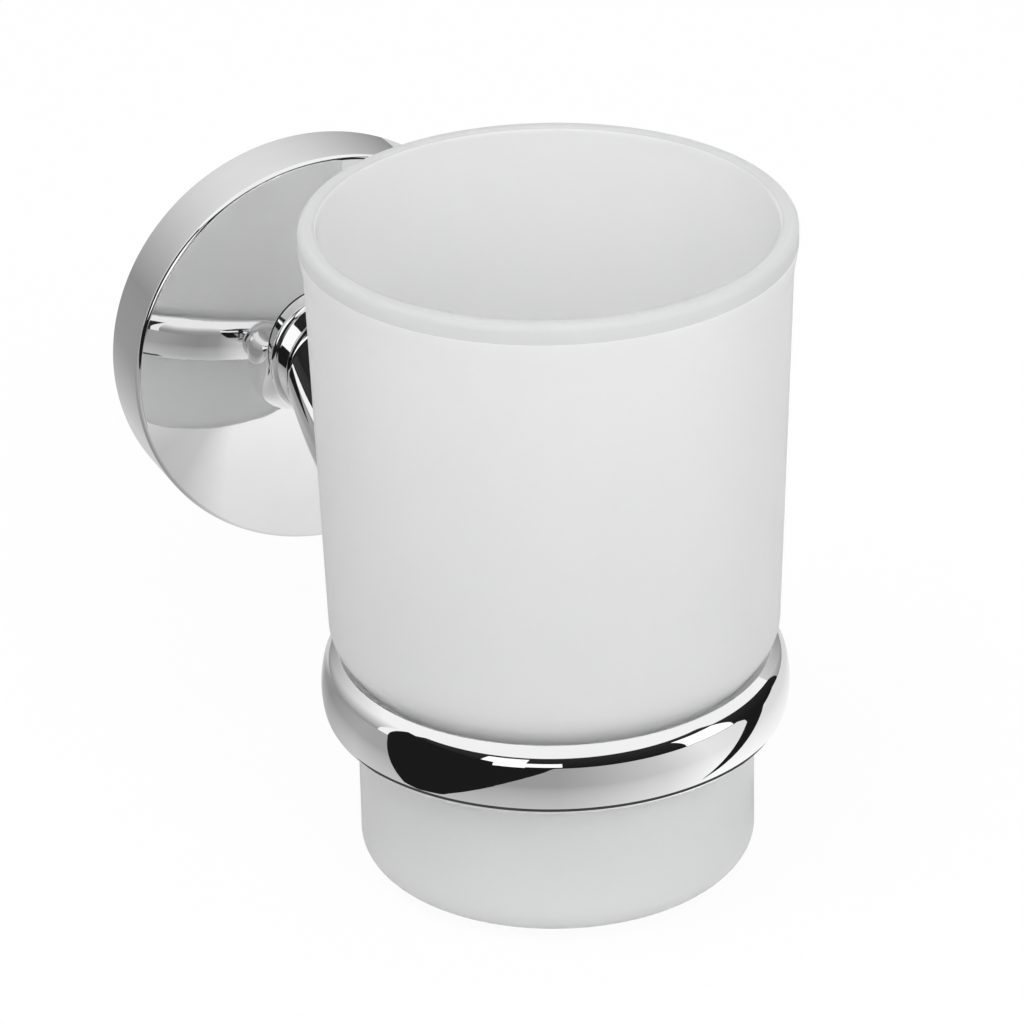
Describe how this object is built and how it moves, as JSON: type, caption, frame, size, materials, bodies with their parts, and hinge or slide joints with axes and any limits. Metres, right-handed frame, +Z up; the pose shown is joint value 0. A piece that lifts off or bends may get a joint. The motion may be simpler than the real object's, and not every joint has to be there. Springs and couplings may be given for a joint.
{
  "type": "tumbler holder",
  "caption": "Wall-mounted tumbler holder: a frosted glass tumbler lifts out of a polished ring on a curved arm that rises to a round rosette.",
  "frame": {"origin": "on the wall plane, on the rosette's axis, midway between the two wall screw holes", "axes": "+Z up, +Y into the wall, the holder reaches out along -Y, +X to the right seen from the room"},
  "size_m": [0.065, 0.1205, 0.0931],
  "materials": {
    "frosted_glass": "satin, acid-etched",
    "chrome": "mirror-polished plating",
    "zinc_bracket": "zinc plated, dull",
    "steel_fastener": "bright steel"
  },
  "bodies": {
    "holder": {"rosette": "chrome", "wall_bracket": "zinc_bracket", "holder_arm": "chrome", "holder_ring": "chrome", "arm_screw": "steel_fastener", "lock_washer": "steel_fastener", "locating_pin": "steel_fastener"},
    "tumbler": {"tumbler_glass": "frosted_glass"},
    "set_screw": {"set_screw": "steel_fastener"}
  },
  "joints": [
    {"name": "tumbler_lift", "type": "slide", "parent": "holder", "child": "tumbler", "axis": [0, 0, 1], "range_m": [0, 0.06]},
    {"name": "set_screw_travel", "type": "slide", "parent": "holder", "child": "set_screw", "axis": [0, 0, -1], "range_m": [0, 0.002]}
  ]
}
